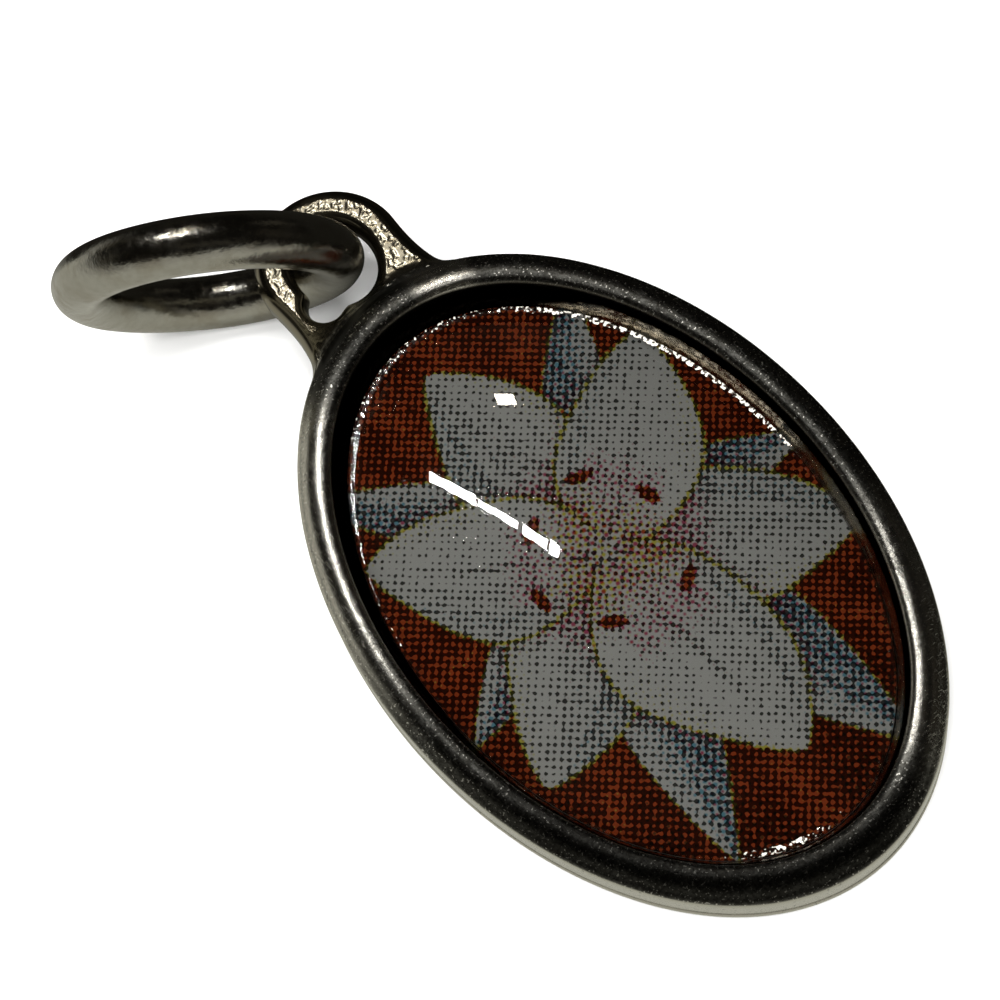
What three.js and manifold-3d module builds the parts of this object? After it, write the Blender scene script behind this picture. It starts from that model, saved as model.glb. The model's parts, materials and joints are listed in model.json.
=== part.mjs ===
// Oval medal pendant: a cast metal case with a pierced lug, a printed oval card under a clear domed
// cover, and a jump ring of round wire through the lug. Millimetres, +Z up. It lies on Z = 0, on the
// case's far end and on the ring, which passes under the lug and props it up a little.

import * as THREE from 'three';
import { mergeVertices } from 'three/addons/utils/BufferGeometryUtils.js';
import Module from 'manifold-3d';

const wasm = await Module();
wasm.setup();

// Case, in the medal's own frame: X across, Y towards the lug, Z out of the picture, back on Z = 0
const caseHalfLength = 11.0;
const caseHalfWidth = 7.5;
const caseHeight = 1.87;
const bezelWidthAtEnds = 1.52;
const bezelWidthAtSides = 1.28;
const backThickness = 0.4;
const ovalSegments = 84;

// Picture and cover
const cardThickness = 0.15;
const fitGap = 0.04;
const coverEdgeThickness = 0.12;
const coverRise = 0.72;
const coverRings = 7;

// Jump ring; the wire lies off the hole's middle by a share of its clearance to the left and upwards
const wireDiameter = 1.66;
const ringInnerDiameter = 5.84;
const ringAxisTurn = THREE.MathUtils.degToRad(57.4);
const ringLean = THREE.MathUtils.degToRad(12.9);
const ringEntryAngle = THREE.MathUtils.degToRad(25.2);
const wireLeftShare = 0.2;
const wireUpShare = 0.25;
const wireSides = 14;
const ringSteps = 52;

// Lug
const lugOffset = -0.1;
const lugUnderside = 0.3;
const lugThickness = 1.1;
const lugEdgeRound = 0.28;
const lugStrip = 1.1;
const lugNeckPinch = 0.12;
const lugFootFlare = 0.4;
const lugFootDepth = 0.9;
const lugCurveSteps = 22;
const holeSideClearance = 0.37;
const holeEndClearance = 0.57;
const holeFootGap = 0.3;
const holeFlareFront = 0.12;
const holeFlareBack = 0.45;
const holeCornerRadius = 0.55;
const holeCornerReach = 0.35;
const cutterReach = 0.5;

// Densities in g/cm3, which set where the centre of mass lies over the two resting points
const metalDensity = 10.3;
const resinDensity = 1.15;
const cardDensity = 0.9;

const wireRadius = wireDiameter / 2;
const ringRadius = ringInnerDiameter / 2 + wireRadius;
const pictureHalfLength = caseHalfLength - bezelWidthAtEnds;
const pictureHalfWidth = caseHalfWidth - bezelWidthAtSides;
const cardUnderside = backThickness + fitGap;
const cardFace = cardUnderside + cardThickness;
const coverUnderside = cardFace + fitGap;
const holeHalfWidth = wireRadius + holeSideClearance;
const holeHalfHeight = wireRadius + holeEndClearance;
const holeY = caseHalfLength + holeFootGap + holeHalfHeight;
const lugRadius = holeHalfWidth + lugStrip;
const loopY = holeY + holeHalfHeight + lugStrip - lugRadius;
const lugMiddle = lugUnderside + lugThickness / 2;

// The case's section. across: share of the bezel's width from the outer edge; up: share of its height
const bezelSection = [
  { across: 0.2, up: 0.0 },
  { across: 0.06, up: 0.02 },
  { across: 0.0, up: 0.07 },
  { across: 0.0, up: 0.16 },
  { across: 0.05, up: 0.2 },
  { across: 0.05, up: 0.235 },
  { across: 0.015, up: 0.27 },
  { across: 0.01, up: 0.5 },
  { across: 0.015, up: 0.738 },
  { across: 0.052, up: 0.802 },
  { across: 0.148, up: 0.864 },
  { across: 0.244, up: 0.928 },
  { across: 0.333, up: 0.968 },
  { across: 0.42, up: 0.99 },
  { across: 0.51, up: 1.0 },
  { across: 0.6, up: 0.997 },
  { across: 0.68, up: 0.984 },
  { across: 0.755, up: 0.947 },
  { across: 0.81, up: 0.866 },
  { across: 0.85, up: 0.75 },
  { across: 0.9, up: 0.59 },
  { across: 0.955, up: 0.44 },
];

// Half the oval's width where its half-length is given: the bezel's two widths, then the picture's shape
function halfWidthAt(halfLength) {
  if (halfLength <= pictureHalfLength) {
    return (halfLength * pictureHalfWidth) / pictureHalfLength;
  }
  const share = (halfLength - pictureHalfLength) / bezelWidthAtEnds;
  return pictureHalfWidth + share * bezelWidthAtSides;
}

// A closed solid of a mesh: its shared vertices merged, no flat triangles, its faces pointing out
function solidOf(geometry) {
  const bare = geometry.clone();
  bare.deleteAttribute('normal');
  bare.deleteAttribute('uv');
  const merged = mergeVertices(bare, 1e-5);
  const places = merged.attributes.position.array;
  const index = merged.index.array;
  const corners = [];
  let volume = 0;
  for (let i = 0; i < index.length; i += 3) {
    const [a, b, c] = [index[i], index[i + 1], index[i + 2]];
    if (a !== b && b !== c && c !== a) {
      corners.push(a, b, c);
      volume += cornerBox(places, a, b, c).volume;
    }
  }
  if (volume < 0) {
    corners.reverse();
  }
  return new wasm.Manifold(
    new wasm.Mesh({ numProp: 3, vertProperties: Float32Array.from(places), triVerts: Uint32Array.from(corners) }),
  );
}

// The pyramid from the origin to one triangle: its signed volume and its centre
function cornerBox(places, a, b, c) {
  const p = new THREE.Vector3().fromArray(places, 3 * a);
  const q = new THREE.Vector3().fromArray(places, 3 * b);
  const r = new THREE.Vector3().fromArray(places, 3 * c);
  const volume = p.dot(new THREE.Vector3().crossVectors(q, r)) / 6;
  return { volume, centre: p.add(q).add(r).multiplyScalar(0.25) };
}

function geometryOf(solid) {
  const mesh = solid.getMesh();
  const geometry = new THREE.BufferGeometry();
  geometry.setAttribute('position', new THREE.BufferAttribute(mesh.vertProperties, 3));
  geometry.setIndex(new THREE.BufferAttribute(mesh.triVerts, 1));
  geometry.computeVertexNormals();
  return geometry;
}

// A lathe turned about Z from rows of half-length and height, with its circles drawn out into ovals
function ovalTurned(rows) {
  const profile = rows.map((row) => new THREE.Vector2(row.halfLength, row.z));
  const geometry = new THREE.LatheGeometry(profile, ovalSegments);
  geometry.rotateX(Math.PI / 2);
  const places = geometry.attributes.position;
  for (let i = 0; i < places.count; i += 1) {
    const halfLength = Math.hypot(places.getX(i), places.getY(i));
    if (halfLength > 1e-6) {
      places.setX(i, (places.getX(i) * halfWidthAt(halfLength)) / halfLength);
    }
  }
  return geometry;
}

// Oval tray with a rounded bezel: flat back, low flange with a parting groove, crown, inner slope, floor
function trayGeometry() {
  const section = bezelSection.map((row) => ({
    halfLength: caseHalfLength - row.across * bezelWidthAtEnds,
    z: row.up * caseHeight,
  }));
  return ovalTurned([
    { halfLength: 0, z: 0 },
    ...section,
    { halfLength: pictureHalfLength, z: cardFace },
    { halfLength: pictureHalfLength, z: backThickness },
    { halfLength: 0, z: backThickness },
  ]);
}

// Outline of the lug drawn in by an inset: a flared foot that reaches into the bezel, a neck and a round loop
function lugOutline(inset) {
  const footY = caseHalfLength - lugFootDepth;
  const neckY = caseHalfLength + lugEdgeRound;
  const radius = lugRadius - inset;
  const neck = radius - lugNeckPinch;
  const foot = radius + lugFootFlare;
  const outline = new THREE.Path();
  outline.moveTo(lugOffset + foot, footY);
  outline.bezierCurveTo(lugOffset + neck, neckY, lugOffset + radius, neckY, lugOffset + radius, loopY);
  outline.absarc(lugOffset, loopY, radius, 0, Math.PI, false);
  outline.bezierCurveTo(lugOffset - radius, neckY, lugOffset - neck, neckY, lugOffset - foot, footY);
  const points = outline.getPoints(lugCurveSteps);
  return points.filter((point, i) => i === 0 || point.distanceTo(points[i - 1]) > 1e-6);
}

// Outlines of equal length laid over each other, joined by side faces and closed by two lids
function stacked(layers) {
  const count = layers[0].outline.length;
  const places = layers.flatMap(({ outline, z }) => outline.flatMap((point) => [point.x, point.y, z]));
  const index = [];
  for (let layer = 0; layer + 1 < layers.length; layer += 1) {
    for (let i = 0; i < count; i += 1) {
      const here = layer * count + i;
      const next = layer * count + ((i + 1) % count);
      index.push(here, next, next + count, here, next + count, here + count);
    }
  }
  const top = (layers.length - 1) * count;
  for (const [a, b, c] of THREE.ShapeUtils.triangulateShape(layers[0].outline, [])) {
    index.push(a, c, b, top + a, top + b, top + c);
  }
  const geometry = new THREE.BufferGeometry();
  geometry.setAttribute('position', new THREE.Float32BufferAttribute(places, 3));
  geometry.setIndex(index);
  return geometry;
}

// The lug with its front and back edges rounded off
function lugGeometry() {
  const layers = [];
  for (const { turns, z, away } of [
    { turns: [0, 1, 2, 3], z: lugUnderside + lugEdgeRound, away: -1 },
    { turns: [3, 2, 1, 0], z: lugUnderside + lugThickness - lugEdgeRound, away: 1 },
  ]) {
    for (const turn of turns) {
      const angle = (turn / 3) * (Math.PI / 2);
      const inset = lugEdgeRound * (1 - Math.sin(angle));
      layers.push({ outline: lugOutline(inset), z: z + away * lugEdgeRound * Math.cos(angle) });
    }
  }
  return stacked(layers);
}

// The hole's cutter: narrowest half way through the lug and flared towards both faces
function holeCutter(radius, stretch) {
  const front = lugUnderside + lugThickness;
  const profile = [
    new THREE.Vector2(0, lugUnderside - cutterReach),
    new THREE.Vector2(radius + holeFlareBack, lugUnderside - cutterReach),
    new THREE.Vector2(radius + holeFlareBack, lugUnderside),
    new THREE.Vector2(radius + holeFlareBack / 3, lugUnderside + lugThickness / 4),
    new THREE.Vector2(radius, lugMiddle),
    new THREE.Vector2(radius, front - lugThickness / 4),
    new THREE.Vector2(radius + holeFlareFront, front),
    new THREE.Vector2(radius + holeFlareFront, front + cutterReach),
    new THREE.Vector2(0, front + cutterReach),
  ];
  const geometry = new THREE.LatheGeometry(profile, 32);
  geometry.rotateX(Math.PI / 2);
  geometry.scale(1, stretch, 1);
  return geometry;
}

// The tray with its lug, pierced by the hole and by the hole's lower corner
function caseSolid() {
  const main = holeCutter(holeHalfWidth, holeHalfHeight / holeHalfWidth);
  main.translate(lugOffset, holeY, 0);
  const corner = holeCutter(holeCornerRadius, 1);
  const cornerX = lugOffset - holeHalfWidth + holeCornerRadius - holeCornerReach;
  corner.translate(cornerX, caseHalfLength + holeFootGap + holeCornerRadius, 0);
  const lug = solidOf(lugGeometry()).subtract(solidOf(main)).subtract(solidOf(corner));
  return solidOf(trayGeometry()).add(lug);
}

function cardSolid() {
  const halfLength = pictureHalfLength - fitGap;
  return solidOf(
    ovalTurned([
      { halfLength: 0, z: cardUnderside },
      { halfLength, z: cardUnderside },
      { halfLength, z: cardFace },
      { halfLength: 0, z: cardFace },
    ]),
  );
}

// Clear cover: flat below, a short upright edge, then a shallow dome
function coverSolid() {
  const edge = pictureHalfLength - fitGap;
  const rows = [
    { halfLength: 0, z: coverUnderside },
    { halfLength: edge, z: coverUnderside },
  ];
  for (let i = 0; i <= coverRings; i += 1) {
    const share = Math.cos((i / coverRings) * (Math.PI / 2));
    const radiusShare = i === coverRings ? 0 : share;
    const z = coverUnderside + coverEdgeThickness + coverRise * (1 - radiusShare ** 2.4);
    rows.push({ halfLength: edge * radiusShare, z });
  }
  return solidOf(ovalTurned(rows));
}

// The ring's own directions: its axis, the level one in its plane towards the case, and the upward one
function ringDirections() {
  const axis = new THREE.Vector3(
    Math.cos(ringAxisTurn) * Math.cos(ringLean),
    Math.sin(ringAxisTurn) * Math.cos(ringLean),
    Math.sin(ringLean),
  );
  const level = new THREE.Vector3(Math.sin(ringAxisTurn), -Math.cos(ringAxisTurn), 0);
  const upward = new THREE.Vector3().crossVectors(axis, level).negate();
  return { axis, level, upward: upward.z < 0 ? upward.negate() : upward };
}

// The ring's centre, from where its wire passes through the hole at half the lug's thickness
function ringCentre() {
  const { level, upward } = ringDirections();
  const wireInHole = new THREE.Vector3(
    lugOffset - wireLeftShare * holeSideClearance,
    holeY + wireUpShare * holeEndClearance,
    lugMiddle,
  );
  return wireInHole
    .addScaledVector(level, -ringRadius * Math.cos(ringEntryAngle))
    .addScaledVector(upward, ringRadius * Math.sin(ringEntryAngle));
}

function ringSolid() {
  const { axis } = ringDirections();
  const geometry = new THREE.TorusGeometry(ringRadius, wireRadius, wireSides, ringSteps);
  geometry.applyQuaternion(new THREE.Quaternion().setFromUnitVectors(new THREE.Vector3(0, 0, 1), axis));
  const centre = ringCentre();
  geometry.translate(centre.x, centre.y, centre.z);
  return solidOf(geometry);
}

// Centre of mass of solids, each with its density
function massCentre(pieces) {
  const sum = new THREE.Vector3();
  let mass = 0;
  for (const { solid, density } of pieces) {
    const { vertProperties, triVerts } = solid.getMesh();
    for (let i = 0; i < triVerts.length; i += 3) {
      const pyramid = cornerBox(vertProperties, triVerts[i], triVerts[i + 1], triVerts[i + 2]);
      sum.addScaledVector(pyramid.centre, pyramid.volume * density);
      mass += pyramid.volume * density;
    }
  }
  return sum.divideScalar(mass);
}

// Upward direction of the surface that the medal lies on, in the medal's frame. The ring touches it at its
// lowest point and the back's oval edge where the line from there through the centre of mass meets it.
function floorNormal(centre) {
  const edgeHalfLength = caseHalfLength - bezelSection[0].across * bezelWidthAtEnds;
  const edgeHalfWidth = halfWidthAt(edgeHalfLength);
  const { axis } = ringDirections();
  const normal = new THREE.Vector3(0, 0, 1);
  for (let round = 0; round < 4; round += 1) {
    const down = normal.clone().negate();
    const drop = down.clone().addScaledVector(axis, -down.dot(axis)).normalize();
    const low = ringCentre().addScaledVector(drop, ringRadius).addScaledVector(down, wireRadius);
    const run = new THREE.Vector2(centre.x - low.x, centre.y - low.y);
    const start = new THREE.Vector2(low.x / edgeHalfWidth, low.y / edgeHalfLength);
    const step = new THREE.Vector2(run.x / edgeHalfWidth, run.y / edgeHalfLength);
    const a = step.lengthSq();
    const b = start.dot(step);
    const c = start.lengthSq() - 1;
    const reach = (-b + Math.sqrt(b * b - a * c)) / a;
    const edge = new THREE.Vector2(low.x + reach * run.x, low.y + reach * run.y);
    const outward = new THREE.Vector2(edge.x / edgeHalfWidth ** 2, edge.y / edgeHalfLength ** 2);
    const slope = low.z / (outward.x * (edge.x - low.x) + outward.y * (edge.y - low.y));
    normal.set(outward.x * slope, outward.y * slope, 1).normalize();
  }
  return normal;
}

const castMetal = new THREE.MeshStandardMaterial({ color: 0x8d8a80, roughness: 0.34, metalness: 1.0 });
const wireMetal = new THREE.MeshStandardMaterial({ color: 0x95928a, roughness: 0.18, metalness: 1.0 });
const printedCard = new THREE.MeshStandardMaterial({ color: 0x7a5a4e, roughness: 0.7, metalness: 0.0 });
const clearResin = new THREE.MeshStandardMaterial({
  color: 0xf4f2ea,
  roughness: 0.05,
  metalness: 0.0,
  transparent: true,
  opacity: 0.3,
});

const pieces = [
  { name: 'medal_case', solid: caseSolid(), material: castMetal, density: metalDensity },
  { name: 'printed_picture', solid: cardSolid(), material: printedCard, density: cardDensity },
  { name: 'clear_cover', solid: coverSolid(), material: clearResin, density: resinDensity },
  { name: 'jump_ring', solid: ringSolid(), material: wireMetal, density: metalDensity },
];

// The medal as it lies: tilted onto its two resting points, then set on Z = 0 about the origin
const medal = new THREE.Group();
for (const { name, solid, material } of pieces) {
  const mesh = new THREE.Mesh(geometryOf(solid), material);
  mesh.name = name;
  medal.add(mesh);
}
medal.quaternion.setFromUnitVectors(floorNormal(massCentre(pieces)), new THREE.Vector3(0, 0, 1));
medal.updateMatrixWorld(true);
const box = new THREE.Box3().setFromObject(medal, true);
const middle = box.getCenter(new THREE.Vector3());
medal.position.set(-middle.x, -middle.y, -box.min.z);

const pendant = new THREE.Group();
pendant.add(medal);

export default pendant;
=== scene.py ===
"""Looks of an oval medal pendant that lies on a pale floor: a worn cast case with a stippled lug, a halftone
print under a clear domed cover, and a polished jump ring. Sizes are in millimetres in the medal's own frame:
X across, Y towards the lug, Z out of the picture, the back on Z = 0. They are measured from the frame."""
import json
import math

import bpy
import numpy as np
from mathutils import Matrix, Vector


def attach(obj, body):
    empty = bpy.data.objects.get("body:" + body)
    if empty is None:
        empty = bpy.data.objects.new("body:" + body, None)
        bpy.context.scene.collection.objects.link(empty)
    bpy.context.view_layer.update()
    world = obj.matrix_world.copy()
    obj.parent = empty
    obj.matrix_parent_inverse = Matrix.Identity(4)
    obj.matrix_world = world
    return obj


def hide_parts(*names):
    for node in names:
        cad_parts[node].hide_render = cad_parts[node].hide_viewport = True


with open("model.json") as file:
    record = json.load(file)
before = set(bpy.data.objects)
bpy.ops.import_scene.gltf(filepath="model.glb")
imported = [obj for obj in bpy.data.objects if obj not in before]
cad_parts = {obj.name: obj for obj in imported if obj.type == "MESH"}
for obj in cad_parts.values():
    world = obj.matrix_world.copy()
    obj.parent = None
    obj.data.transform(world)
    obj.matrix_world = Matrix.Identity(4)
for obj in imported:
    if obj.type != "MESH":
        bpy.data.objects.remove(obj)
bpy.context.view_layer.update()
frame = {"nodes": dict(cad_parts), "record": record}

MM = 0.001
FULL_TURN = 2 * math.pi

# Where the record's mount lies on the medal's back
BACK_POINT = Vector((2.1, 1.3, 0.0))

# What the frame's boxes don't give
FIT_GAP = 0.04
BACK_THICKNESS = 0.4
COVER_EDGE = 0.12
LUG_NECK_PINCH = 0.06
LUG_FOOT_FLARE = 0.4
LUG_FOOT_DEPTH = 0.9
LUG_EDGE_ROUND = 0.42
HOLE_SIDE_CLEARANCE = 0.37
HOLE_END_CLEARANCE = 0.57
HOLE_FOOT_GAP = 0.3
HOLE_FLARE_FRONT = 0.12
HOLE_FLARE_BACK = 0.42
HOLE_CORNER_RADIUS = 0.55
HOLE_CORNER_REACH = 0.35
HOLE_CORNER_BLEND = 0.2
HOLE_EDGE_ROUND = 0.16
FILLET = 0.45
SEAT = 0.02

# Past this far from the case's end, only the lug is left of it
LUG_CLEAR_OF_CASE = 1.0

# How far the lug's grid runs past it at its low and high ends, along X, Y and Z
LUG_GRID_BEFORE = (0.95, 0.6, 0.08)
LUG_GRID_PAST = (0.95, 0.12, 0.1)

# The bezel's section. First column: share of its width from the outer edge; second: share of the height
BEZEL_SECTION = (
    (0.2, 0.0), (0.06, 0.02), (0.0, 0.07), (0.0, 0.16), (0.05, 0.2), (0.05, 0.235), (0.015, 0.27),
    (0.01, 0.5), (0.015, 0.738), (0.052, 0.802), (0.148, 0.864), (0.244, 0.928), (0.333, 0.968),
    (0.42, 0.99), (0.51, 1.0), (0.6, 0.997), (0.68, 0.984), (0.755, 0.947), (0.81, 0.866), (0.85, 0.75),
    (0.9, 0.59), (0.955, 0.44), (1.0, 0.316),
)

# How finely the pieces are meshed
SECTION_STEPS = 4
STEPS_AROUND = 480
LUG_STEP = 0.038
PRINT_STEPS = 216
COVER_STEPS = 200
RING_STEPS = 320
WIRE_STEPS = 72

# How uneven the cast tray is: its upper part ripples and has small dents, and the picture's ledge is rough
UNEVEN_FROM = 0.6
OUTLINE_RIPPLE = 0.012
HEIGHT_RIPPLE = 0.009
DENTS = 26
DENT_INWARD = (0.05, 1.2)
DENT_SPREAD = (0.12, 0.4)
DENT_DEPTH = (0.004, 0.014)
LEDGE_SHARE = 0.87
LEDGE_ROUGH_ACROSS = 0.02
LEDGE_ROUGH_UP = 0.012

# The stipple on the lug's face: two sizes of blobs, and the soft steps that bound it
STIPPLE_HEIGHT = 0.014
BLOB_PITCH = 0.24
SMALL_BLOB_PITCH = 0.17
SMALL_BLOB_HEIGHT = 0.8
BLOB_TILE = 64
BLOB_STRETCH = 1.8
STIPPLE_BORDER = (0.26, 0.42)
STIPPLE_FROM_HOLE = (0.08, 0.2)
STIPPLE_FROM_BEZEL = (0.0, 0.08)
STIPPLE_UPRIGHT = (0.3, 0.7)

# How the looks change around the oval, each a rise and a fall in degrees, 90 at the lug's end
# Painted shade reaches right across the recess between these angles, around the lug's end
DARK_LUG_END = ((40, 62), (178, 200))
# Painted shade on the crown between these angles, on its -X side
SHADED_SIDE = ((176, 212), (272, 292))
# At these places the crown is smoother, and brighter as a painted highlight where the lamps' highlights fall
POLISH_AND_HIGHLIGHT_PLACES = (((112, 126), (158, 182)), ((284, 300), (322, 350)), ((66, 71), (78, 84)))

# The same across the bezel, in shares of its width from the outer edge
# Painted shade in the recess: the shares where it starts, where it ends, where it ends at the lug's end, and
# how it fades
RECESS_START = (0.76, 0.79)
RECESS_END = 0.86
RECESS_END_AT_LUG = 0.99
RECESS_FADE = 0.04
# The band across the crown that is darkened as painted shade on its -X side, and how dark it is
SHADED_BAND = ((0.03, 0.1), (0.6, 0.76))
SHADED_SIDE_SHARE = 0.72

# Camera, in the medal's own frame
CAMERA_PLACE = Vector((-11.245, -20.563, 70.465))
CAMERA_AIM = Vector((-1.089, 3.781, 0.9))
CAMERA_ROLL = math.radians(-42.05)
CAMERA_LENS = 93.9


# Frame and measures

def medal_matrix():
    """The medal's own frame in the row's frame, from the mount on its back."""
    mount = frame["record"]["mounts"][0]
    turn = Vector((0, 0, 1)).rotation_difference(-Vector(mount["axis"]))
    origin = Vector(mount["pos_m"]) - turn @ (BACK_POINT * MM)
    return Matrix.LocRotScale(origin, turn, (1, 1, 1))


medal = medal_matrix()
medal_turn = np.array(medal.to_3x3())
medal_origin = np.array(medal.translation)


def own_places(mesh):
    """A mesh's vertices in the medal's own frame, in millimetres."""
    places = np.empty(len(mesh.vertices) * 3)
    mesh.vertices.foreach_get("co", places)
    return (places.reshape(-1, 3) - medal_origin) @ medal_turn / MM


def row_places(places):
    """Places in the medal's own frame, in millimetres, as metres in the row's frame."""
    return places * MM @ medal_turn.T + medal_origin


case_places, picture_places, cover_places, ring_places = (
    own_places(frame["nodes"][name].data)
    for name in ("medal_case", "printed_picture", "clear_cover", "jump_ring")
)

case_length = -case_places[:, 1].min()
case_width = case_places[:, 0].max()
case_height = case_places[:, 2].max()
picture_length = picture_places[:, 1].max() + FIT_GAP
picture_width = picture_places[:, 0].max() + FIT_GAP
plate_length, plate_width = picture_length - FIT_GAP, picture_width - FIT_GAP
picture_face = picture_places[:, 2].max()
cover_underside = cover_places[:, 2].min()
cover_top = cover_places[:, 2].max()
cover_edge_top = cover_underside + COVER_EDGE

lug_places = case_places[case_places[:, 1] > case_length + LUG_CLEAR_OF_CASE]
lug_x = (lug_places[:, 0].min() + lug_places[:, 0].max()) / 2
lug_radius = (lug_places[:, 0].max() - lug_places[:, 0].min()) / 2
loop_y = lug_places[:, 1].max() - lug_radius
lug_underside = lug_places[:, 2].min()
lug_face = lug_places[:, 2].max()
lug_middle = (lug_underside + lug_face) / 2

ring_centre = ring_places.mean(0)
ring_spread = ring_places - ring_centre
ring_axis = np.linalg.svd(ring_spread, full_matrices=False)[2][2]
ring_reach = np.linalg.norm(ring_spread - np.outer(ring_spread @ ring_axis, ring_axis), axis=1)
wire_radius = (ring_reach.max() - ring_reach.min()) / 2
ring_radius = (ring_reach.max() + ring_reach.min()) / 2

hole_width = wire_radius + HOLE_SIDE_CLEARANCE
hole_height = wire_radius + HOLE_END_CLEARANCE
hole_y = case_length + HOLE_FOOT_GAP + hole_height


def half_width_at(half_length):
    """Half the oval's width where its half-length is given."""
    past = np.maximum(half_length - picture_length, 0)
    within = np.minimum(half_length, picture_length)
    widening = (case_width - picture_width) / (case_length - picture_length)
    return within * picture_width / picture_length + past * widening


# Mesh helpers

def smooth_line(rows, steps):
    """A Catmull-Rom line through the rows, with a number of steps between each two."""
    rows = np.asarray(rows, float)
    padded = np.vstack([2 * rows[0] - rows[1], rows, 2 * rows[-1] - rows[-2]])
    share = (np.arange(steps) / steps)[:, None]
    parts = []
    for before, here, after, beyond in zip(padded, padded[1:], padded[2:], padded[3:]):
        bend = 2 * before - 5 * here + 4 * after - beyond
        twist = -before + 3 * here - 3 * after + beyond
        parts.append(here + 0.5 * ((after - before) * share + bend * share**2 + twist * share**3))
    return np.vstack(parts + [rows[-1:]])


def add_object(name, data):
    made = bpy.data.objects.new(name, data)
    bpy.context.scene.collection.objects.link(made)
    return made


def mesh_of(name, places, faces):
    """A mesh from places in the medal's own frame and groups of faces."""
    mesh = bpy.data.meshes.new(name)
    mesh.from_pydata(row_places(places).tolist(), [], [face for group in faces for face in group.tolist()])
    return mesh


def smooth(mesh):
    mesh.polygons.foreach_set("use_smooth", np.ones(len(mesh.polygons), bool))


def add_piece(name, places, faces, slot, replaced):
    """A smooth piece that rides on the part and stands for a CAD node."""
    mesh = mesh_of(name, places, faces)
    smooth(mesh)
    mesh.update()
    piece = add_object(name, mesh)
    set_attribute(mesh, "place", places, "FLOAT_VECTOR")
    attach(piece, "root")
    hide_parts(replaced)
    return piece


def grid_faces(rows, columns):
    """Quads between rows of places that run round, each row closed on itself."""
    row, column = np.meshgrid(np.arange(rows - 1), np.arange(columns), indexing="ij")
    here = (row * columns + column).ravel()
    aside = (row * columns + (column + 1) % columns).ravel()
    return np.stack([here, aside, aside + columns, here + columns], 1)


def fan_faces(start, columns, middle, flip):
    """Triangles from a closed row of places to one middle place."""
    here = start + np.arange(columns)
    aside = start + (np.arange(columns) + 1) % columns
    ends = (aside, here) if flip else (here, aside)
    return np.stack([ends[0], ends[1], np.full(columns, middle)], 1)


def set_attribute(mesh, name, values, kind="FLOAT"):
    field = {"FLOAT": "value", "FLOAT_VECTOR": "vector", "FLOAT_COLOR": "color"}[kind]
    attribute = mesh.attributes.new(name, kind, "POINT")
    attribute.data.foreach_set(field, np.ascontiguousarray(values, np.float32).ravel())


def ripple(turn, rng, waves, size):
    """A smooth random line around the oval, made of whole waves."""
    total = sum(rng.normal() * np.cos(wave * turn + rng.uniform(0, FULL_TURN)) / wave**0.5 for wave in waves)
    return size * total / np.abs(total).max()


def blend_low(a, b, reach):
    """The lower of two fields, rounded off where they come within reach of each other."""
    near = np.maximum(reach - np.abs(a - b), 0) / reach
    return np.minimum(a, b) - near**2 * reach / 4


def eased(values, low, high):
    """0 below low, 1 above high, and a smooth step between."""
    share = np.clip((values - low) / (high - low), 0, 1)
    return share * share * (3 - 2 * share)


def window(values, rise, fall):
    """1 between a smooth step up over one range and a smooth step down over another."""
    return eased(values, *rise) * (1 - eased(values, *fall))


def degrees_round(x, y):
    """The angle around the oval from 0 to 360, with 90 at the lug's end."""
    return np.mod(np.degrees(np.arctan2(y / case_length, x / case_width)), 360)


# The case's oval tray

def bezel_line(steps):
    """The section as rows of half-length and height."""
    line = smooth_line(BEZEL_SECTION, steps)
    half_length = case_length - line[:, 0] * (case_length - picture_length)
    return np.stack([half_length, line[:, 1] * case_height], 1)


def tray_surface():
    """The tray swept around the oval, a little uneven and dented as a worn casting is."""
    rng = np.random.default_rng(11)
    turn = np.arange(STEPS_AROUND) / STEPS_AROUND * FULL_TURN
    section = bezel_line(SECTION_STEPS)
    back_rows = [(case_length * share, 0.0) for share in (0.25, 0.6, 0.85)]
    floor_rows = [(picture_length * share, BACK_THICKNESS) for share in (1.0, 0.5)]
    rows = np.vstack([back_rows, section, floor_rows])
    half_length = np.repeat(rows[:, :1], STEPS_AROUND, 1)
    height = np.repeat(rows[:, 1:], STEPS_AROUND, 1)
    share = np.clip((height - UNEVEN_FROM * case_height) / ((1 - UNEVEN_FROM) * case_height), 0, 1)
    half_length += share * ripple(turn, rng, range(3, 26), OUTLINE_RIPPLE) - share * OUTLINE_RIPPLE
    height += share * ripple(turn, rng, range(2, 30), HEIGHT_RIPPLE) - share * HEIGHT_RIPPLE
    for _ in range(DENTS):
        middle, inward = rng.uniform(0, FULL_TURN), rng.uniform(*DENT_INWARD)
        spread, depth = rng.uniform(*DENT_SPREAD), rng.uniform(*DENT_DEPTH)
        around = (np.mod(turn - middle + math.pi, FULL_TURN) - math.pi) * (case_length + case_width) / 2
        across = case_length - inward - half_length
        height -= share * depth * np.exp(-(around**2 + across**2) / spread**2)
    ledge_start = case_length - LEDGE_SHARE * (case_length - picture_length)
    ledge = ((rows[:, 0] < ledge_start) & (rows[:, 1] > picture_face))[:, None]
    half_length += ledge * rng.uniform(-LEDGE_ROUGH_ACROSS, LEDGE_ROUGH_ACROSS, half_length.shape)
    height += ledge * rng.uniform(-LEDGE_ROUGH_UP, LEDGE_ROUGH_UP, height.shape)
    places = np.stack(
        [half_width_at(half_length) * np.cos(turn), half_length * np.sin(turn), height], 2
    ).reshape(-1, 3)
    count = len(rows)
    middles = np.array([(0, 0, 0), (0, 0, BACK_THICKNESS)])
    faces = [
        grid_faces(count, STEPS_AROUND),
        fan_faces(0, STEPS_AROUND, len(places), True),
        fan_faces((count - 1) * STEPS_AROUND, STEPS_AROUND, len(places) + 1, False),
    ]
    return np.vstack([places, middles]), faces


# The lug, as a field that is negative inside the metal

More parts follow.
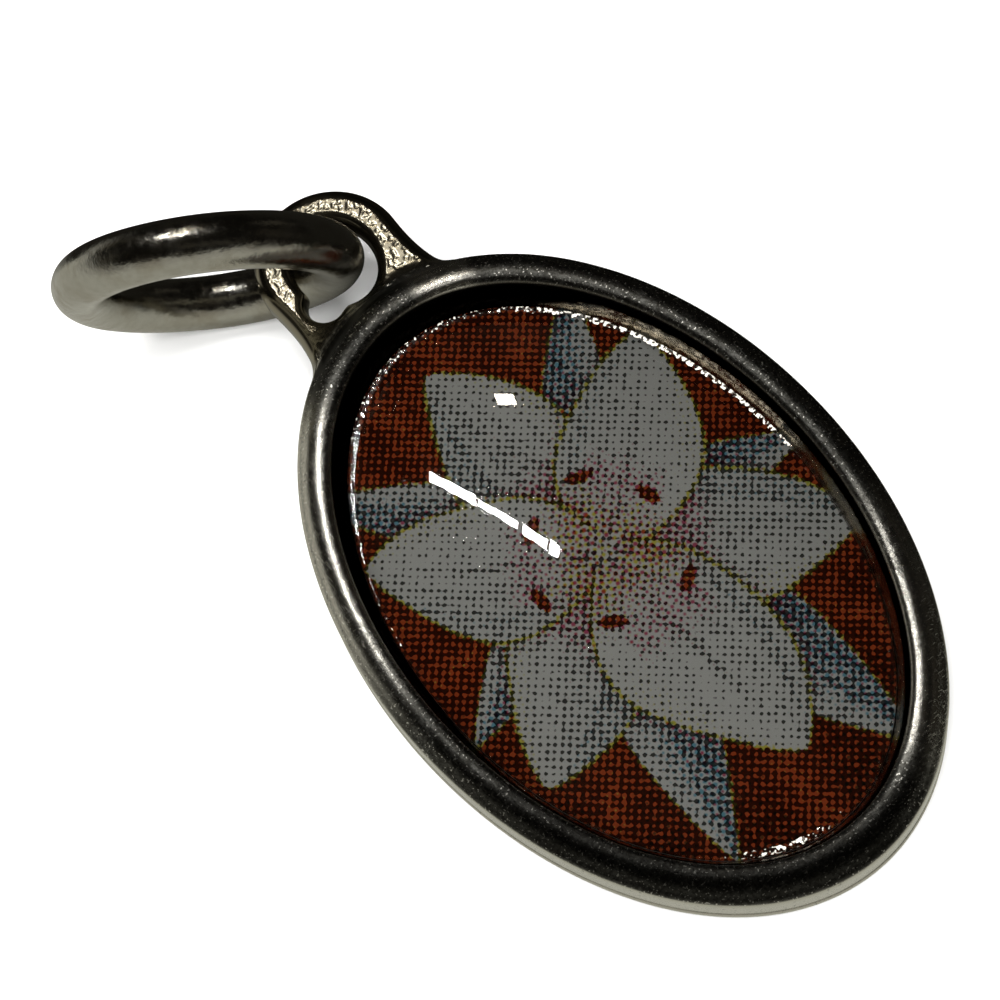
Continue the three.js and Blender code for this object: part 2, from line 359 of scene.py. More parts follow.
def inward_of(x, y):
    """How far a place lies inside the case's outer edge."""
    half_length = np.maximum(np.hypot(y, x), 0.001)
    for _ in range(4):
        half_length = np.hypot(y, x * half_length / half_width_at(half_length))
        half_length = np.maximum(half_length, 0.001)
    return case_length - half_length


# The table's grid: its step, and where its inward distances and heights start and end
TABLE_STEP = 0.02
TABLE_INWARD = (-1.5, 2.4)
TABLE_HEIGHT = (-0.4, 2.6)


def bezel_table():
    """Distance to the bezel's section over a grid of inward distance and height, negative in the metal."""
    line = bezel_line(2)
    line[:, 0] = case_length - line[:, 0]
    line = np.vstack([line, [(case_length - picture_length, 0.0)]])
    lines = [np.arange(start, end, TABLE_STEP) for start, end in (TABLE_INWARD, TABLE_HEIGHT)]
    inward, height = np.meshgrid(*lines, indexing="ij")
    nearest = np.full(inward.shape, np.inf)
    inside = np.zeros(inward.shape, bool)
    for (ax, ay), (bx, by) in zip(line, np.roll(line, -1, 0)):
        length = max((bx - ax) ** 2 + (by - ay) ** 2, 1e-12)
        along = np.clip(((inward - ax) * (bx - ax) + (height - ay) * (by - ay)) / length, 0, 1)
        away = np.hypot(inward - ax - along * (bx - ax), height - ay - along * (by - ay))
        nearest = np.minimum(nearest, away)
        if abs(by - ay) > 1e-9:
            crosses = (ay > height) != (by > height)
            inside ^= crosses & (inward < ax + (height - ay) * (bx - ax) / (by - ay))
    return np.where(inside, -nearest, nearest)


bezel_grid = bezel_table()
last_column, last_row = np.array(bezel_grid.shape) - 1.001


def bezel_field(x, y, z):
    """Distance to the tray's bezel, read between the table's points."""
    column = np.clip((inward_of(x, y) - TABLE_INWARD[0]) / TABLE_STEP, 0, last_column)
    row = np.clip((z - TABLE_HEIGHT[0]) / TABLE_STEP, 0, last_row)
    i, j = column.astype(int), row.astype(int)
    a, b = column - i, row - j
    low = bezel_grid[i, j] * (1 - a) + bezel_grid[i + 1, j] * a
    high = bezel_grid[i, j + 1] * (1 - a) + bezel_grid[i + 1, j + 1] * a
    return low * (1 - b) + high * b


def lug_outline(x, y):
    """Distance to the lug's outline seen from the front: a round loop on a foot that widens."""
    down = np.clip((loop_y - y) / (loop_y - case_length + LUG_FOOT_DEPTH), 0, 1)
    half = lug_radius - LUG_NECK_PINCH * np.sin(math.pi * down) + LUG_FOOT_FLARE * down**3
    beside = np.abs(x - lug_x)
    return np.where(y > loop_y, np.hypot(beside, y - loop_y) - lug_radius, beside - half)


def hole_field(x, y, z):
    """Distance to the lug's hole, which flares towards both faces and has a lower left corner."""
    rise = (z - lug_middle) / (lug_face - lug_middle)
    flare = HOLE_FLARE_FRONT * np.clip(rise, 0, 1) ** 2 + HOLE_FLARE_BACK * np.clip(-rise, 0, 1) ** 1.5
    width = hole_width + flare
    height = width * hole_height / hole_width
    main = (np.hypot((x - lug_x) / width, (y - hole_y) / height) - 1) * width
    corner_x = lug_x - hole_width + HOLE_CORNER_RADIUS - HOLE_CORNER_REACH
    corner_y = case_length + HOLE_FOOT_GAP + HOLE_CORNER_RADIUS
    corner = np.hypot(x - corner_x, y - corner_y) - HOLE_CORNER_RADIUS - flare
    return blend_low(main, corner, HOLE_CORNER_BLEND)


def lug_field(x, y, z):
    """The lug with rounded edges, run into the bezel by a fillet and pierced by its hole."""
    side = lug_outline(x, y) + LUG_EDGE_ROUND
    face = np.abs(z - lug_middle) - (lug_face - lug_underside) / 2 + LUG_EDGE_ROUND
    slab = np.minimum(np.maximum(side, face), 0) + np.hypot(np.maximum(side, 0), np.maximum(face, 0))
    slab = np.maximum(slab - LUG_EDGE_ROUND, case_length - LUG_FOOT_DEPTH - y)
    joined = blend_low(slab, bezel_field(x, y, z) + SEAT, FILLET)
    joined = np.maximum(joined, slab - FILLET)
    return -blend_low(-joined, hole_field(x, y, z), HOLE_EDGE_ROUND)


def skin_of(values, low, step):
    """Places and quads over a grid's zero level, one place to each cell that the level crosses."""
    inside = values < 0
    shape = np.array(values.shape) - 1
    offsets = [(i, j, k) for i in (0, 1) for j in (0, 1) for k in (0, 1)]

    def corner(grid, offset):
        return grid[tuple(slice(o, o + n) for o, n in zip(offset, shape))]

    count = sum(corner(inside, offset).astype(np.int8) for offset in offsets)
    crossed = (count > 0) & (count < 8)
    number = np.full(crossed.shape, -1)
    number[crossed] = np.arange(crossed.sum())
    total = np.zeros((crossed.sum(), 3))
    hits = np.zeros(crossed.sum())
    for axis in range(3):
        for offset in offsets:
            if offset[axis]:
                continue
            far = tuple(o + (n == axis) for n, o in enumerate(offset))
            a, b = corner(values, offset)[crossed], corner(values, far)[crossed]
            cuts = (a < 0) != (b < 0)
            share = np.where(cuts, a / np.where(cuts, a - b, 1), 0)
            spot = np.repeat(np.array([offset], float), len(a), 0)
            spot[:, axis] += share
            total += spot * cuts[:, None]
            hits += cuts
    cells = np.argwhere(crossed)
    places = low + (cells + total / hits[:, None]) * step
    quads = []
    for axis in range(3):
        first, second = others = [n for n in range(3) if n != axis]
        spots = np.argwhere(np.diff(inside, axis=axis))
        spots = spots[((spots[:, others] > 0) & (spots[:, others] < shape[others])).all(1)]
        leaving = inside[tuple(spots.T)]
        ring = []
        for one, two in ((1, 1), (0, 1), (0, 0), (1, 0)):
            cell = spots.copy()
            cell[:, first] -= one
            cell[:, second] -= two
            ring.append(number[tuple(cell.T)])
        ring = np.stack(ring, 1)
        turned = leaving != (axis == 1)
        quads.append(np.where(turned[:, None], ring, ring[:, ::-1]))
    return places, np.vstack(quads)


def slope_of(field, places, reach=0.01):
    """The field's slope at places, by differences."""
    steps = []
    for axis in range(3):
        shift = np.zeros(3)
        shift[axis] = reach
        steps.append((field(*(places + shift).T) - field(*(places - shift).T)) / (2 * reach))
    return np.stack(steps, 1)


def pebbles(x, y, pitch, seed):
    """Height from 0 to 1 of small raised blobs, one to each square of a pitch, longer than wide."""
    chance = np.random.default_rng(seed).random((BLOB_TILE, BLOB_TILE, 5))
    column, row = np.floor(x / pitch).astype(int), np.floor(y / pitch).astype(int)
    height = np.zeros_like(x)
    for i in (-1, 0, 1):
        for j in (-1, 0, 1):
            draw = chance[(column + i) % BLOB_TILE, (row + j) % BLOB_TILE]
            away_x = (column + i + draw[:, 0]) * pitch - x
            away_y = (row + j + draw[:, 1]) * pitch - y
            angle = draw[:, 2] * math.pi
            along = away_x * np.cos(angle) + away_y * np.sin(angle)
            across = away_y * np.cos(angle) - away_x * np.sin(angle)
            size = pitch * (0.3 + 0.16 * draw[:, 3])
            far = np.hypot(along / BLOB_STRETCH, across) / size
            height = np.maximum(height, np.clip(1 - far**2, 0, 1) * (0.5 + 0.5 * draw[:, 4]))
    return height


def stipple(x, y):
    """The stipple's height over the lug's face: one size of blobs with smaller ones between."""
    small = SMALL_BLOB_HEIGHT * pebbles(x + 3, y + 7, SMALL_BLOB_PITCH, 8)
    return eased(np.maximum(pebbles(x, y, BLOB_PITCH, 5), small), 0.05, 0.45)


def stipple_share(x, y, z, normal_z):
    """Where the lug's face is stippled: inside a smooth border, and clear of the hole's rim."""
    border = eased(-lug_outline(x, y), *STIPPLE_BORDER)
    rim = eased(hole_field(x, y, z), *STIPPLE_FROM_HOLE)
    clear = eased(bezel_field(x, y, z), *STIPPLE_FROM_BEZEL)
    return border * rim * clear * eased(normal_z, *STIPPLE_UPRIGHT)


def lug_surface():
    """Places and quads over the lug: the field's skin, drawn onto its zero level and stippled."""
    low = np.array([lug_x - lug_radius, case_length - LUG_FOOT_DEPTH, 0.0]) - LUG_GRID_BEFORE
    high = np.array([lug_x + lug_radius, loop_y + lug_radius, case_height]) + LUG_GRID_PAST
    lines = [np.arange(a, b, LUG_STEP) for a, b in zip(low, high)]
    grid = np.meshgrid(*lines, indexing="ij")
    places, quads = skin_of(lug_field(*grid), low, LUG_STEP)
    for _ in range(2):
        slope = slope_of(lug_field, places)
        size = np.maximum((slope**2).sum(1), 0.2)
        move = slope * (lug_field(*places.T) / size)[:, None]
        places = places - np.clip(move, -LUG_STEP / 2, LUG_STEP / 2)
    slope = slope_of(lug_field, places, 0.03)
    normal = slope / np.linalg.norm(slope, axis=1)[:, None]
    x, y, z = places.T
    share = stipple_share(x, y, z, normal[:, 2])
    places = places + normal * (share * (stipple(x, y) - 0.5) * STIPPLE_HEIGHT)[:, None]
    return places, quads


def shade_share(x, y, share):
    """Where the case is darkened as painted shade: the recess, wholly at the lug's end, and partly its -X
    side.
    """
    turn = degrees_round(x, y)
    end = RECESS_END + (RECESS_END_AT_LUG - RECESS_END) * window(turn, *DARK_LUG_END)
    recess = window(share, RECESS_START, (end, end + RECESS_FADE))
    return np.maximum(recess, SHADED_SIDE_SHARE * window(turn, *SHADED_SIDE) * window(share, *SHADED_BAND))


def polish_and_highlight_share(x, y):
    """Where the crown is smoother, as worn, and brighter as a painted highlight: its -X side, the far end's
    +X side, and a spot beside the lug, where the lamps' highlights fall.
    """
    turn = degrees_round(x, y)
    return np.max([window(turn, *place) for place in POLISH_AND_HIGHLIGHT_PLACES], axis=0)


def join(piece, mesh):
    """Joins a piece with another mesh into one solid, and gives its new mesh."""
    other = add_object("lug", mesh)
    union = piece.modifiers.new("union", "BOOLEAN")
    union.operation = "UNION"
    union.solver = "MANIFOLD"
    union.object = other
    bpy.context.view_layer.update()
    evaluated = piece.evaluated_get(bpy.context.evaluated_depsgraph_get())
    joined = bpy.data.meshes.new_from_object(evaluated)
    piece.modifiers.clear()
    piece.data = joined
    joined.name = piece.name
    bpy.data.objects.remove(other)
    smooth(joined)
    return joined


def mark_case(mesh):
    """Attributes that tell the case's material where a place lies. The attribute "place" comes from the tray
    through the join, which leaves it at zero on the lug: textures that follow it are even there."""
    x, y, z = own_places(mesh).T
    normals = np.empty(len(x) * 3)
    mesh.vertices.foreach_get("normal", normals)
    upright = normals.reshape(-1, 3) @ medal_turn[:, 2]
    inward = inward_of(x, y)
    share = inward / (case_length - picture_length)
    above_floor = eased(z, 0.3, 0.5)
    on_lug = eased(-inward, -0.05, 0.25) * eased(y, case_length - 1.5, case_length - 0.5)
    stippled = stipple_share(x, y, z, upright + 0.5)
    turn = np.arctan2(y / case_length, x / case_width)
    middle_line = np.stack([case_width * np.cos(turn), case_length * np.sin(turn), 0.35 * z], 1)
    set_attribute(mesh, "rim", middle_line, "FLOAT_VECTOR")
    for name, values in (
        ("lug", on_lug),
        ("stipple", stippled),
        ("hollow", stippled * (1 - stipple(x, y))),
        # Painted shade: where the case is darkened in its recess and on its -X side
        ("shade", shade_share(x, y, share)),
        # Where the crown is smoother, and brighter as a painted highlight
        ("polish_and_highlight", polish_and_highlight_share(x, y)),
        ("slope", eased(share, 0.74, 0.82) * above_floor),
        ("ledge", eased(share, 0.9, 0.95) * above_floor),
        ("wall", eased(-share, -0.05, -0.03) * (1 - on_lug)),
    ):
        set_attribute(mesh, name, values)


def case_piece():
    """Tray and lug joined into one solid of cast metal."""
    case = add_piece("cast_case", *tray_surface(), "cast_metal", "medal_case")
    places, quads = lug_surface()
    mark_case(join(case, mesh_of("lug", places, [quads])))
    return case


# The print: a white lily among blue leaves on a red-brown ground, drawn by formulas

# The paper's white is set dark, as are the paints below it, and the printed paper is darker still by its
# share: painted shade for the little light that reaches the print
PAPER = np.array([0.146, 0.152, 0.158])
PAPER_SHADE_SHARE = 0.62
PAINT = {
    "ground": (0.043, 0.0085, 0.0022),
    "ground_deep": (0.022, 0.0042, 0.0013),
    "glow": (0.066, 0.018, 0.005),
    "petal": (0.139, 0.144, 0.149),
    "petal_shade": (0.072, 0.079, 0.085),
    "petal_warm": (0.118, 0.098, 0.07),
    "vein": (0.07, 0.062, 0.058),
    "fringe": (0.062, 0.06, 0.016),
    "leaf": (0.07, 0.076, 0.095),
    "leaf_dark": (0.033, 0.035, 0.053),
    "leaf_light": (0.102, 0.108, 0.116),
    "throat": (0.098, 0.052, 0.03),
    "rose": (0.1, 0.036, 0.032),
    "anther": (0.04, 0.014, 0.008),
}


# Where the lily grows from, and its parts: direction in degrees, length, and a blade's width and bend
HEART = (0.2, 0.7)
LEAVES = (
    (64, 8.6, 1.15, -0.12), (122, 8.8, 1.2, 0.12), (186, 6.6, 1.2, 0.2),
    (246, 9.6, 1.5, 0.1), (292, 10.2, 1.7, -0.1), (2, 6.6, 1.25, -0.2),
)
BACK_PETALS = ((90, 7.6, 2.0, 0.05), (212, 7.0, 2.0, 0.1), (330, 7.2, 2.1, -0.08))
FRONT_PETALS = ((34, 6.8, 2.05, 0.1), (150, 6.8, 2.1, -0.1), (270, 8.0, 2.3, 0.06))
BACK_DIMNESS = 0.3
STAMENS = ((14, 2.1), (68, 2.4), (122, 2.2), (178, 2.3), (236, 2.1), (300, 2.5))


class Canvas:
    """A picture held as one colour to each place of the print, the places measured from the lily's heart."""

    def __init__(self, x, y):
        self.x, self.y = x - HEART[0], y - HEART[1]
        self.colour = np.repeat(np.array([PAINT["ground"]]), len(x), 0)

    def lay(self, share, paint):
        """Lays a named colour, or one colour to each place, over a share of the picture."""
        layer = np.array(PAINT[paint]) if isinstance(paint, str) else paint
        share = np.clip(share, 0, 1)[:, None]
        self.colour = self.colour * (1 - share) + layer * share


def mixed(first, second, share):
    share = np.clip(share, 0, 1)[:, None]
    return np.array(PAINT[first]) * (1 - share) + np.array(PAINT[second]) * share


def along_and_side(canvas, angle, length, bend=0.0):
    """Each place's share of the way along a bent shape, and its distance from the shape's middle line."""
    along = (canvas.x * math.cos(angle) + canvas.y * math.sin(angle)) / length
    side = canvas.y * math.cos(angle) - canvas.x * math.sin(angle) - bend * length * along**2
    return along, side


def petal(canvas, angle, length, width, bend, dim):
    """A long petal: pale, shaded down one side and beside its midrib, with a yellowish fringe."""
    along, side = along_and_side(canvas, angle, length, bend)
    inner = np.clip(along, 0.001, 1)
    half = width * np.sin(math.pi * inner**0.85) ** 0.75
    edge = half - np.abs(side + 0.06 * width * np.sin(8 * along + 5 * angle))
    within = (along > 0) & (along < 1)
    canvas.lay(0.6 * eased(edge, -0.7, 0.2) * within, "ground_deep")
    canvas.lay(0.85 * eased(edge, -0.2, 0.02) * within, "fringe")
    across = side / np.maximum(half, 0.05)
    shade = dim + 0.8 * eased(across, -0.2, 1.0) + 0.5 * np.exp(-((across / 0.2) ** 2)) * (1 - along)
    shade += 0.16 * np.sin(17 * across + 3 * angle) * eased(along, 0.05, 0.4)
    body = eased(edge, -0.05, 0.12) * within
    canvas.lay(body, mixed("petal", "petal_shade", shade))
    canvas.lay(0.5 * body * eased(-across, 0.35, 0.9) * eased(along, 0.2, 0.6), "petal_warm")
    canvas.lay(0.85 * body * (1 - eased(along, 0.08, 0.36)), "throat")
    canvas.lay(0.5 * body * np.exp(-((along - 0.33) ** 2) / 0.01) * (np.abs(across) < 0.6), "rose")
    canvas.lay(0.55 * body * np.exp(-((across / 0.06) ** 2)) * (1 - eased(along, 0.5, 0.9)), "vein")


def leaf(canvas, angle, length, width, bend):
    """A blue-grey leaf folded along its midrib, its veins slanting."""
    along, side = along_and_side(canvas, angle, length, bend)
    inner = np.clip(along, 0.001, 1)
    half = width * np.sin(math.pi * inner**0.7) ** 0.9
    edge = half - np.abs(side)
    within = (along > 0) & (along < 1)
    canvas.lay(0.6 * eased(edge, -0.6, 0.15) * within, "ground_deep")
    canvas.lay(0.7 * eased(edge, -0.16, 0.02) * within, "fringe")
    across = side / np.maximum(half, 0.05)
    body = eased(edge, -0.05, 0.1) * within
    veins = 0.5 + 0.5 * np.sin(34 * along - 6 * np.abs(across))
    canvas.lay(body, mixed("leaf", "leaf_dark", 0.55 * eased(across, -0.1, 0.5) + 0.3 * veins))
    canvas.lay(0.8 * body * eased(-across, 0.1, 0.8), "leaf_light")
    canvas.lay(0.7 * body * np.exp(-((across / 0.07) ** 2)), "leaf_dark")


def stamen(canvas, angle, length):
    """A thin filament with an anther set across its end."""
    out, aside = along_and_side(canvas, angle, 1.0)
    canvas.lay(0.9 * eased(-np.abs(aside), -0.12, -0.04) * (out > 0) * (out < length), "petal_warm")
    canvas.lay(eased(-np.hypot((out - length) / 0.2, aside / 0.46), -1.15, -0.8), "anther")


def painted(x, y):
    """The whole picture's colours at places in the medal's own frame."""
    canvas = Canvas(x, y)
    far = np.hypot(canvas.x, canvas.y * 0.8)
    angle = np.arctan2(canvas.y, canvas.x)
    canvas.lay(0.8 * eased(far, 4.5, 8.0), "ground_deep")
    canvas.lay(0.8 * (0.5 + 0.5 * np.cos(20 * angle + 0.7)) ** 3, "glow")
    for degrees, length, width, bend in LEAVES:
        leaf(canvas, math.radians(degrees), length, width, bend)
    for petals, dim in ((BACK_PETALS, BACK_DIMNESS), (FRONT_PETALS, 0.0)):
        for degrees, length, width, bend in petals:
            petal(canvas, math.radians(degrees), length, width, bend, dim)
    canvas.lay(0.9 * np.exp(-((np.hypot(canvas.x, canvas.y) / 0.55) ** 2)), "leaf_dark")
    for degrees, length in STAMENS:
        stamen(canvas, math.radians(degrees), length)
    return canvas.colour


# How much of red, green and blue each of cyan, magenta and yellow ink takes away
INK_TAKES = np.array(((0.75, 0.38, 0.18), (0.25, 0.86, 0.74), (0.04, 0.13, 0.85)))

# How much of the paper black ink covers: at least, growing towards the dark, and at most
BLACK_LEAST = 0.05
BLACK_GROWTH = 0.82
BLACK_MOST = 0.8
LEAST_LIGHT = 0.004
DOT_REACH = 1.4


def ink_levels(colour):
    """Each ink's level for a halftone screen: ink lies where the screen's wave is above its level."""
    passed = np.clip(colour / PAPER, LEAST_LIGHT, 1)
    black = np.clip(BLACK_LEAST + BLACK_GROWTH * (1 - passed.max(1)), 0, BLACK_MOST)
    rest = np.clip(passed / (1 - 0.9 * black)[:, None], LEAST_LIGHT, 1)
    covers = np.zeros_like(rest)
    for _ in range(5):
        for ink in range(3):
            others = [other for other in range(3) if other != ink]
            left = np.prod([1 - covers[:, other] * INK_TAKES[other, ink] for other in others], axis=0)
            covers[:, ink] = np.clip((1 - rest[:, ink] / left) / INK_TAKES[ink, ink], 0, 1)
    return np.column_stack([DOT_REACH * (1 - 2 * covers), 1 - 2 * black])


def disc_grid(steps):
    """A square grid bent onto the unit disc, with cells of even size."""
    line = np.linspace(-1, 1, steps + 1)
    a, b = (grid.ravel() for grid in np.meshgrid(line, line, indexing="ij"))
    wide = np.abs(a) > np.abs(b)
    radius = np.where(wide, a, b)
    safe = np.where(radius == 0, 1, radius)
    angle = np.where(wide, math.pi / 4 * b / safe, math.pi / 2 - math.pi / 4 * a / safe)
    return radius * np.cos(angle), radius * np.sin(angle)


def plate_solid(steps, top, bottom):
    """An oval plate on the disc grid: its top from a function of the way out, its bottom flat."""
    across, along = disc_grid(steps)
    x, y = plate_width * across, plate_length * along
    z = top(np.minimum(np.hypot(across, along), 1))
    side = steps + 1
    number = np.arange(side * side).reshape(side, side)
    quads = np.stack([number[:-1, :-1], number[1:, :-1], number[1:, 1:], number[:-1, 1:]], 2).reshape(-1, 4)
    edge = np.concatenate([number[:-1, 0], number[-1, :-1], number[:0:-1, -1], number[0, :0:-1]])
    places = np.column_stack([x, y, z])
    low = places[edge].copy()
    low[:, 2] = bottom
    start = len(places)
    count = len(edge)
    below = start + np.arange(count)
    walls = np.stack([np.roll(edge, -1), edge, below, np.roll(below, -1)], 1)
    middle = start + count
    floor = fan_faces(start, count, middle, True)
    return np.vstack([places, low, [(0, 0, bottom)]]), [quads, walls, floor]


def print_piece():
    bottom = picture_places[:, 2].min()
    places, faces = plate_solid(PRINT_STEPS, lambda far: picture_face + 0 * far, bottom)
    piece = add_piece("halftone_print", places, faces, "printed_card", "printed_picture")
    levels = ink_levels(painted(places[:, 0], places[:, 1]))
    set_attribute(piece.data, "inks", levels, "FLOAT_COLOR")
    set_attribute(piece.data, "face", (places[:, 2] > picture_face - 0.01).astype(float))
    return piece


# The dome: how flat it is, and where on the way out it ends in a narrow uneven rim
DOME_POWER = 2.4
RIM_START = 0.974
RIM_UNEVEN = 0.006

# The rim's brightness, a painted highlight for the glints along its edge: where it rises, dims and falls in
# degrees from its far end, and a spot near that end
RIM_BRIGHT = ((70, 100), (200, 240))
RIM_DIMMING = (128, 160)
RIM_DIMMED_BY = 0.45
RIM_LEAST = 0.2
SPOT_AT = 344
SPOT_WIDTH = 15
SPOT_BRIGHTNESS = 0.85


def cover_piece():
    """The clear dome: a short upright edge, a narrow uneven rim, then a shallow dome."""
    rise = cover_top - cover_edge_top

    def top(far):
        rim = eased(far, RIM_START - 0.006, RIM_START)
        level = cover_edge_top + rise * (1 - RIM_START**DOME_POWER)
        uneven = np.random.default_rng(21).uniform(-RIM_UNEVEN, RIM_UNEVEN, len(far))
        dome = cover_edge_top + rise * (1 - far**DOME_POWER)
        return dome + rim * (level + uneven - dome)

    places, faces = plate_solid(COVER_STEPS, top, cover_underside)
    piece = add_piece("domed_cover", places, faces, "clear_resin", "clear_cover")
    across, along = places[:, 0] / plate_width, places[:, 1] / plate_length
    far = np.hypot(across, along)
    set_attribute(piece.data, "dome", (places[:, 2] > cover_underside + 0.01).astype(float))
    # Painted highlight: the rim's pale beads show most where its glints fall, by the way round
    turn = np.mod(np.degrees(np.arctan2(along, across)) + 90, 360)
    bright = window(turn, *RIM_BRIGHT) * (1 - RIM_DIMMED_BY * eased(turn, *RIM_DIMMING))
    from_spot = np.minimum(np.abs(turn - SPOT_AT), np.abs(turn + 360 - SPOT_AT))
    bright = np.maximum(bright, SPOT_BRIGHTNESS * np.exp(-((from_spot / SPOT_WIDTH) ** 2)))
    rim = eased(far, RIM_START - 0.004, RIM_START + 0.004)
    set_attribute(piece.data, "rim", rim * (RIM_LEAST + (1 - RIM_LEAST) * bright))
    return piece


WIRE_RIPPLE = 0.006


def ring_piece():
    level = np.cross(ring_axis, (0, 0, 1.0))
    level /= np.linalg.norm(level)
    upward = np.cross(ring_axis, level)
    around = (np.arange(RING_STEPS) / RING_STEPS * FULL_TURN)[:, None]
    about = (np.arange(WIRE_STEPS) / WIRE_STEPS * FULL_TURN)[None, :]
    rng = np.random.default_rng(3)
    radius = wire_radius + ripple(around, rng, range(2, 12), WIRE_RIPPLE) - WIRE_RIPPLE
    outward = np.cos(around)[..., None] * level + np.sin(around)[..., None] * upward
    reach = ring_radius + radius * np.cos(about)
    places = ring_centre + reach[..., None] * outward + (radius * np.sin(about))[..., None] * ring_axis
    count = RING_STEPS * WIRE_STEPS
    number = np.arange(count).reshape(RING_STEPS, WIRE_STEPS)
    ahead, beside = np.roll(number, -1, 0), np.roll(number, -1, 1)
    both = np.roll(ahead, -1, 1)
    quads = np.stack([number, ahead, both, beside], 2).reshape(-1, 4)
    return add_piece("wire_ring", places.reshape(-1, 3), [quads], "wire_metal", "jump_ring")


# Materials

TONES = {
    "white": (1, 1, 1),
    "silver": (0.17, 0.168, 0.155),
    "silver_dark": (0.12, 0.117, 0.105),
    "worn": (0.05, 0.048, 0.042),
    # A painted highlight: the crown's brighter colour in its smoother bands
    "painted_highlight": (0.66, 0.64, 0.58),
    "wall": (0.6, 0.585, 0.52),
    "slope": (0.42, 0.38, 0.31),
    "ledge": (0.5, 0.43, 0.32),
    "gilt": (0.88, 0.82, 0.66),
    "gilt_dark": (0.34, 0.29, 0.19),
    "lug_side": (0.3, 0.275, 0.215),
    "groove": (0.008, 0.006, 0.003),
    # Painted shade in the recess and on the -X side
    "painted_shade": (0.005, 0.0045, 0.004),
    "pit": (0.04, 0.035, 0.03),
    # Bright flecks on the crown, painted glints
    "dust_and_glint_speck": (0.95, 0.93, 0.86),
    # The edge tint in the painted shade and in the grooves
    "shade_and_groove_edge": (0.03, 0.027, 0.02),
    "wire": (0.48, 0.47, 0.425),
    "wire_dark": (0.38, 0.355, 0.3),
    "black_ink": (0.1, 0.1, 0.1),
    "card_back": (0.2, 0.19, 0.17),
    "resin": (0.97, 0.96, 0.93),
    # Pale matt beads on the cover's rim, a painted highlight for its glints
    "glint_bead_tone": (0.8, 0.76, 0.67),
    "floor": (0.84, 0.84, 0.83),
    "floor_light": (0.86, 0.86, 0.85),
    # The floor as the metal sees it, a painted reflection: a glow, dark towards +X and +Y
    "mirrored_floor": (0.5, 0.495, 0.43),
    "mirrored_floor_dark": (0.016, 0.015, 0.012),
    "room": (0.06, 0.055, 0.043),
    "room_dark": (0.007, 0.0065, 0.0055),
    "room_pale": (0.42, 0.41, 0.36),
    "backdrop": (0.9, 0.9, 0.89),
}


class Nodes:
    """A node tree, with short ways to add and join its nodes. A tone's name stands for its colour."""

    def __init__(self, tree):
        self.tree = tree
        tree.nodes.clear()

    def node(self, kind, inputs=(), **settings):
        made = self.tree.nodes.new("ShaderNode" + kind)
        for name, value in settings.items():
            setattr(made, name, value)
        for name, value in dict(inputs).items():
            socket = made.inputs[name]
            if isinstance(value, bpy.types.NodeSocket):
                self.tree.links.new(value, socket)
            else:
                socket.default_value = (*TONES[value], 1.0) if isinstance(value, str) else value
        return made

    def math(self, operation, first, second=0.0):
        return self.node("Math", {0: first, 1: second}, operation=operation).outputs[0]

    def plus(self, first, second):
        return self.math("ADD", first, second)

    def less(self, first, second):
        return self.math("SUBTRACT", first, second)

    def times(self, first, second):
        return self.math("MULTIPLY", first, second)

    def most(self, first, second):
        return self.math("MAXIMUM", first, second)

    def attribute(self, name, output="Fac"):
        return self.node("Attribute", attribute_name=name).outputs[output]

    def places(self, scale=(1, 1, 1), attribute="place"):
        """Places in millimetres, from an attribute that holds them, scaled."""
        inputs = {"Vector": self.attribute(attribute, "Vector"), "Scale": scale}
        return self.node("Mapping", inputs).outputs["Vector"]

    def axes(self, vector):
        return self.node("SeparateXYZ", {"Vector": vector}).outputs

    def noise(self, places, scale, detail=2.0, roughness=0.5):
        inputs = {"Vector": places, "Scale": scale, "Detail": detail, "Roughness": roughness}
        return self.node("TexNoise", inputs).outputs["Fac"]

    def ramp(self, value, low, high, start=0.0, end=1.0):
        inputs = {"Value": value, "From Min": low, "From Max": high, "To Min": start, "To Max": end}
        return self.node("MapRange", inputs, interpolation_type="SMOOTHSTEP").outputs["Result"]

    def mix(self, share, first, second, blend_type="MIX"):
        inputs = {0: share, 6: first, 7: second}
        return self.node("Mix", inputs, data_type="RGBA", blend_type=blend_type).outputs[2]

    def between(self, share, first, second):
        return self.node("Mix", {0: share, 2: first, 3: second}, data_type="FLOAT").outputs[0]

    def bump(self, height, distance, normal=None):
        inputs = {"Height": height, "Distance": distance * MM}
        if normal is not None:
            inputs["Normal"] = normal
        return self.node("Bump", inputs).outputs["Normal"]

    def made(self, kind, **inputs):
        """A new node's first output. In the inputs' names an underscore stands for a space."""
        named = {name.replace("_", " "): value for name, value in inputs.items()}
        return self.node(kind, named).outputs[0]


class Material(Nodes):
    def __init__(self, name):
        self.material = bpy.data.materials.new(name)
        self.material.use_nodes = True
        super().__init__(self.material.node_tree)

    def finish(self, surface):
        self.node("OutputMaterial", {"Surface": surface})
        return self.material


CASE_MARKS = ("lug", "stipple", "hollow", "shade", "polish_and_highlight", "slope", "ledge", "wall")


def stipple_cells(s, places, mark):
    """The lug's stipple: the height of its pebbles, and where its dark grooves are."""
    cells = s.node("Mapping", {"Vector": places, "Rotation": (0, 0, 0.5), "Scale": (5.6, 4.2, 1)}).outputs[0]
    cell = {"Vector": cells, "Scale": 1.0}
    edge = s.node("TexVoronoi", cell, feature="DISTANCE_TO_EDGE", voronoi_dimensions="2D").outputs["Distance"]
    near = s.node("TexVoronoi", cell, feature="SMOOTH_F1", voronoi_dimensions="2D").outputs["Distance"]
    between_cells = s.times(mark["stipple"], s.less(1.0, s.ramp(edge, 0.03, 0.17)))
    return s.less(1.0, s.times(near, near)), s.most(between_cells, s.times(mark["hollow"], 0.4))


